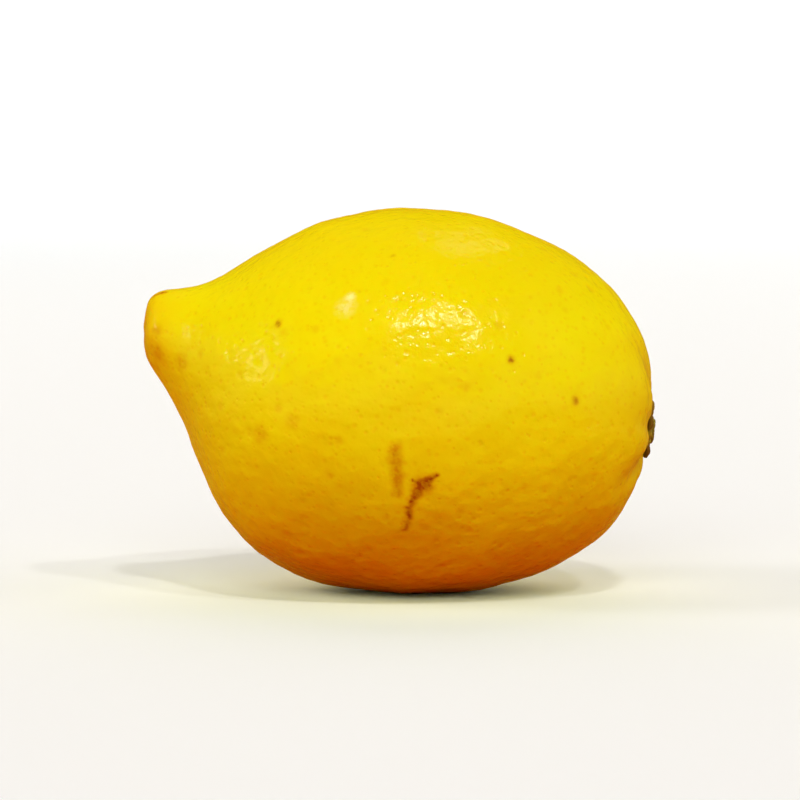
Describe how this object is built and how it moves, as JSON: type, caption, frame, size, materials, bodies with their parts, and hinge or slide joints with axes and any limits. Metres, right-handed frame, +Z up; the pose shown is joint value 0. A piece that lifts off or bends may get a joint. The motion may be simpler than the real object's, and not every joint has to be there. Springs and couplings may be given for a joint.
{
  "type": "lemon",
  "caption": "Whole ripe lemon with a blunt raised nipple, a furrowed stem end with its dry stem button, and a small flat spot it lies on.",
  "frame": {"origin": "on the ground, under the middle of the lemon's bounding box", "axes": "+X from the nipple towards the stem end, +Z up, -Y the side that shows the brown marks"},
  "size_m": [0.0856, 0.0664, 0.0642],
  "materials": {
    "rind": "waxy yellow citrus rind, glossy between fine oil-gland pits",
    "button": "dry, matt grey-green calyx with a pale clipped stalk"
  },
  "bodies": {
    "root": {"fruit": "rind", "stem_button": "button"}
  },
  "joints": []
}
